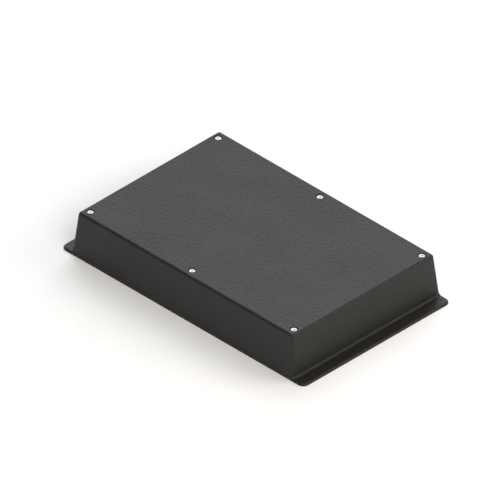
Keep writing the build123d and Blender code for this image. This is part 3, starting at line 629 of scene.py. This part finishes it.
class ANTENNA_OT_small_screws(bpy.types.Operator):
    """Makes the M3 screws of the elements, straps, terminals and connector plate"""

    bl_idname = "antenna.small_screws"
    bl_label = "Small screws"
    bl_options = {"REGISTER", "UNDO"}

    def execute(self, context):
        colours, sizes = settings(context)
        steel = plated_metal("stainless_m3", colours.steel, 0.27, 2 * MM)
        pitch = sizes.small_screw_pitch
        shank = SMALL_SCREW_RADIUS
        for node in ("element_screws", "strap_screws", "terminal_screws", "plate_screws"):
            by_length = {}
            for low, high in islands(node):
                length = round(high.z - low.z - SMALL_HEAD_HEIGHT, 5)
                place = middle_of(low, high, high.z - SMALL_HEAD_HEIGHT)
                by_length.setdefault(length, []).append((place, (high.x - low.x) / 2))
            for number, (length, found) in enumerate(sorted(by_length.items()), 1):
                head_radius = found[0][1]
                pattern = pan_screw("screw", shank, head_radius, SMALL_HEAD_HEIGHT, length, pitch, steel)
                piece = copies_of(pattern, f"m3_{node}_{number}", [place for place, _ in found])
                bpy.data.objects.remove(pattern)
                stand_in(piece, node, "base")
        return {"FINISHED"}


class ANTENNA_OT_inserts(bpy.types.Operator):
    """Makes the threaded bracket inserts and finishes the pillar inserts in brass"""

    bl_idname = "antenna.inserts"
    bl_label = "Inserts"
    bl_options = {"REGISTER", "UNDO"}

    def execute(self, context):
        colours, sizes = settings(context)
        brass = plated_metal("machined_brass", colours.brass, 0.3, 3 * MM)
        finish("pillar_inserts", brass)
        boxes = islands("mount_inserts")
        low, high = boxes[0]
        radius = (high.x - low.x) / 2
        height = high.z - low.z
        major = 2.5 * MM
        minor = 2.15 * MM
        lead = 0.45 * MM
        chamfer = 0.3 * MM
        waist = radius - 0.4 * MM
        outline = [(major, lead), (major + lead * 0.6, 0), (radius - chamfer, 0), (radius, chamfer)]
        outline += [(radius, height * 0.4), (waist, height * 0.42), (waist, height * 0.58)]
        outline += [(radius, height * 0.6), (radius, height - chamfer), (radius - chamfer, height)]
        outline += [(major, height), (major, height - lead)]
        segments = 48
        shape = rings(outline, segments)
        add_thread(shape, major, minor, sizes.insert_pitch, lead, height - lead, segments)
        close_up(shape)
        pattern = to_object(shape, "insert", brass)
        smooth_by_angle(pattern, 30)
        places = [middle_of(a, b, a.z) for a, b in boxes]
        piece = copies_of(pattern, "threaded_bracket_inserts", places)
        bpy.data.objects.remove(pattern)
        stand_in(piece, "mount_inserts", "base")
        return {"FINISHED"}


class ANTENNA_OT_boom(bpy.types.Operator):
    """Finishes the boom, its plugs, cradles and straps"""

    bl_idname = "antenna.boom"
    bl_label = "Boom and supports"
    bl_options = {"REGISTER", "UNDO"}

    def execute(self, context):
        colours, sizes = settings(context)
        finish("boom", drawn_metal("anodised_extrusion", colours.aluminium, 0.38, "X", 0.6 * MM))
        strap = plated_metal("zinc_plated_strap", colours.zinc, 0.34, 3 * MM)
        fitting = moulded_plastic("acetal_fitting", colours.fittings, sizes, 0.42)
        for node in ("rear_strap", "front_strap"):
            finish(node, strap)
        for node in ("boom_rear_plug", "boom_front_plug", "rear_cradle", "front_cradle"):
            finish(node, fitting)
        return {"FINISHED"}


class ANTENNA_OT_elements(bpy.types.Operator):
    """Finishes the reflector, folded dipole, directors and their saddles"""

    bl_idname = "antenna.elements"
    bl_label = "Elements"
    bl_options = {"REGISTER", "UNDO"}

    def execute(self, context):
        colours, sizes = settings(context)
        rod = drawn_metal("drawn_aluminium_rod", colours.aluminium, 0.3, "Y", 0.5 * MM)
        nylon = moulded_plastic("natural_nylon", colours.saddles, sizes, 0.45, 0.5)
        for node in ("reflector", "folded_dipole", "director_1", "director_2", "director_3"):
            finish(node, rod)
        for node in ("reflector", "dipole", "director_1", "director_2", "director_3"):
            finish(f"{node}_saddle", nylon)
        return {"FINISHED"}


class ANTENNA_OT_balun(bpy.types.Operator):
    """Finishes the balun's case, lid, board, transformer and terminals"""

    bl_idname = "antenna.balun"
    bl_label = "Balun"
    bl_options = {"REGISTER", "UNDO"}

    def execute(self, context):
        colours, sizes = settings(context)
        case = moulded_plastic("grey_abs", colours.balun, sizes, 0.46)
        finish("balun_case", case)
        finish("balun_lid", case)
        finish("balun_board", solder_masked_board(colours.board))
        finish("balun_transformer", moulded_plastic("ground_ferrite", colours.ferrite, sizes, 0.55))
        finish("terminal_posts", plated_metal("terminal_brass", colours.brass, 0.3, 2 * MM))
        return {"FINISHED"}


class ANTENNA_OT_socket(bpy.types.Operator):
    """Makes the socket's threaded shell and finishes its other pieces and their plate"""

    bl_idname = "antenna.socket"
    bl_label = "Coaxial socket"
    bl_options = {"REGISTER", "UNDO"}

    def execute(self, context):
        colours, sizes = settings(context)
        nickel = plated_metal("nickel_plated_brass", colours.nickel, 0.22, 3 * MM)
        plate = drawn_metal("chromated_aluminium_plate", colours.aluminium, 0.36, "Y", 0.6 * MM)
        finish("connector_plate", plate)
        finish("port_nut", nickel)
        finish("port_washer", nickel)
        finish("port_insulator", moulded_plastic("turned_ptfe", colours.insulator, sizes, 0.4, 0.4))
        finish("port_contact", plated_metal("gold_plated_contact", colours.gold, 0.2, 2 * MM))

        low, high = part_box("port_body")
        plate_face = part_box("connector_plate")[0].x
        nut_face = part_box("port_nut")[0].x
        bead_low, bead_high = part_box("port_insulator")
        major = 7.94 * MM
        root = major - 0.6 * MM
        collar = (high.z - low.z) / 2
        bore = (bead_high.z - bead_low.z) / 2 + 0.05 * MM
        barrel = 4.6 * MM
        cable = 1.45 * MM
        lip = major - 0.8 * MM
        edge = 0.3 * MM
        lead = 0.5 * MM
        # Heights are distances outward from the plate's outer face, so the socket's mouth is at the top.
        mouth = plate_face - low.x
        relief_far = plate_face - nut_face + 1.5 * MM
        relief_near = relief_far - 1.0 * MM
        plate_inner = -2.5 * MM
        collar_end = plate_inner - 3.0 * MM
        barrel_end = plate_face - high.x
        groove_inner = 8.55 * MM
        groove_outer = 9.85 * MM
        groove_floor = plate_inner - 1.2 * MM
        outline = [(root, relief_far), (root, relief_near), (major, relief_near), (major, plate_inner)]
        outline += [(groove_inner, plate_inner), (groove_inner, groove_floor)]
        outline += [(groove_outer, groove_floor), (groove_outer, plate_inner)]
        outline += [(collar - edge, plate_inner), (collar, plate_inner - edge), (collar, collar_end + edge)]
        outline += [(collar - edge, collar_end), (barrel, collar_end), (barrel, barrel_end + edge)]
        outline += [(barrel - edge, barrel_end), (cable, barrel_end), (cable, collar_end)]
        outline += [(bore, collar_end), (bore, mouth - edge), (bore + edge, mouth)]
        outline += [(lip, mouth), (root, mouth - lead)]
        segments = 64
        shape = rings(outline, segments)
        add_thread(shape, root, major, sizes.socket_pitch, relief_far, mouth - lead, segments)
        close_up(shape)
        piece = to_object(shape, "threaded_socket_shell", nickel)
        place = Matrix.Translation((plate_face, (low.y + high.y) / 2, (low.z + high.z) / 2))
        piece.data.transform(place @ Matrix.Rotation(math.radians(-90), 4, "Y"))
        smooth_by_angle(piece, 30)
        stand_in(piece, "port_body", "base")
        return {"FINISHED"}


class ANTENNA_OT_cable(bpy.types.Operator):
    """Finishes the feed cable and its clip"""

    bl_idname = "antenna.cable"
    bl_label = "Feed cable"
    bl_options = {"REGISTER", "UNDO"}

    def execute(self, context):
        colours, sizes = settings(context)
        finish("feed_cable", moulded_plastic("pvc_jacket", colours.jacket, sizes, 0.32, 0.5))
        finish("cable_clip", moulded_plastic("nylon_clip", colours.fittings, sizes, 0.45))
        return {"FINISHED"}


class ANTENNA_OT_stage(bpy.types.Operator):
    """Makes the floor, the soft lights and the camera"""

    bl_idname = "antenna.stage"
    bl_label = "Studio"
    bl_options = {"REGISTER", "UNDO"}

    def execute(self, context):
        scene = context.scene
        stage = scene.antenna_stage
        paper = bmesh.new()
        bmesh.ops.create_grid(paper, x_segments=4, y_segments=4, size=FLOOR_REACH)
        floor = to_object(paper, "studio_floor", seamless_paper(scene.antenna_colours.floor))
        floor.location.z = -FLOOR_DROP

        world = bpy.data.worlds.new("studio_air")
        scene.world = world
        world.use_nodes = True
        background = world.node_tree.nodes["Background"]
        background.inputs["Color"].default_value = (*linear_colour("#FFFFFF"), 1)
        background.inputs["Strength"].default_value = stage.sky

        # Each soft panel's name, place, width and height in metres, and colour.
        panels = (
            ("back_panel", (-1.35, 1.63, 1.5), (2.6, 2.2), "#F6F8FF"),
            ("side_panel", (1.7, 1.7, 1.3), (2.4, 1.8), "#FFF6EA"),
            ("front_panel", (2.0, -1.2, 1.8), (2.4, 2.4), "#FFFAF2"),
            ("overhead_panel", (-0.4, 0.4, 2.3), (2.4, 2.4), "#FFFFFF"),
        )
        for name, place, size, hex_value in panels:
            self.soft_panel(name, place, size, getattr(stage, name), hex_value)
        self.camera(stage, scene)
        scene.view_settings.view_transform = "Standard"
        return {"FINISHED"}

    def soft_panel(self, name, place, size, power, hex_value):
        """Adds a rectangular area light that faces the antenna."""
        data = bpy.data.lights.new(name, "AREA")
        data.shape = "RECTANGLE"
        data.size, data.size_y = size
        data.energy = power
        data.color = linear_colour(hex_value)
        light = bpy.data.objects.new(name, data)
        light.location = place
        light.rotation_euler = (-Vector(place)).to_track_quat("-Z", "Y").to_euler()
        bpy.context.scene.collection.objects.link(light)

    def camera(self, stage, scene):
        """Adds the parallel camera that looks down on the corner between the front and the right side."""
        level = math.cos(stage.elevation)
        across = math.sin(stage.azimuth) * level
        back = -math.cos(stage.azimuth) * level
        away = Vector((across, back, math.sin(stage.elevation)))
        rotation = away.to_track_quat("Z", "Y")
        right = rotation @ Vector((1, 0, 0))
        up = rotation @ Vector((0, 1, 0))
        data = bpy.data.cameras.new("camera")
        data.type = "ORTHO"
        data.ortho_scale = stage.view_width
        data.clip_end = 20
        camera = bpy.data.objects.new("camera", data)
        camera.rotation_euler = rotation.to_euler()
        camera.location = away * CAMERA_DISTANCE - right * stage.aim_left + up * stage.aim_up
        scene.collection.objects.link(camera)
        scene.camera = camera


class ANTENNA_PT_panel(bpy.types.Panel):
    """Lists the antenna's operators and settings"""

    bl_idname = "ANTENNA_PT_panel"
    bl_label = "Enclosed Yagi antenna"
    bl_space_type = "VIEW_3D"
    bl_region_type = "UI"
    bl_category = "Antenna"

    def draw(self, context):
        """Shows a button for each operator, then the settings."""
        for operator in OPERATORS:
            self.layout.operator(operator.bl_idname)
        for group_name in GROUPS:
            group = getattr(context.scene, group_name)
            box = self.layout.box()
            for name in group.__annotations__:
                box.prop(group, name)


GROUPS = {"antenna_colours": AntennaColours, "antenna_sizes": AntennaSizes, "antenna_stage": AntennaStage}
OPERATORS = (
    ANTENNA_OT_radome,
    ANTENNA_OT_base,
    ANTENNA_OT_seals,
    ANTENNA_OT_cover_screws,
    ANTENNA_OT_small_screws,
    ANTENNA_OT_inserts,
    ANTENNA_OT_boom,
    ANTENNA_OT_elements,
    ANTENNA_OT_balun,
    ANTENNA_OT_socket,
    ANTENNA_OT_cable,
    ANTENNA_OT_stage,
)


def register():
    """Registers the settings, operators and panel."""
    for name, group in GROUPS.items():
        bpy.utils.register_class(group)
        setattr(bpy.types.Scene, name, bpy.props.PointerProperty(type=group))
    for cls in OPERATORS + (ANTENNA_PT_panel,):
        bpy.utils.register_class(cls)


def unregister():
    """Removes what register() added."""
    for cls in reversed(OPERATORS + (ANTENNA_PT_panel,)):
        bpy.utils.unregister_class(cls)
    for name, group in GROUPS.items():
        delattr(bpy.types.Scene, name)
        bpy.utils.unregister_class(group)


def main():
    """Registers the add-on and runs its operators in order."""
    register()
    for operator in OPERATORS:
        group, name = operator.bl_idname.split(".")
        getattr(getattr(bpy.ops, group), name)()


if __name__ == "__main__":
    main()
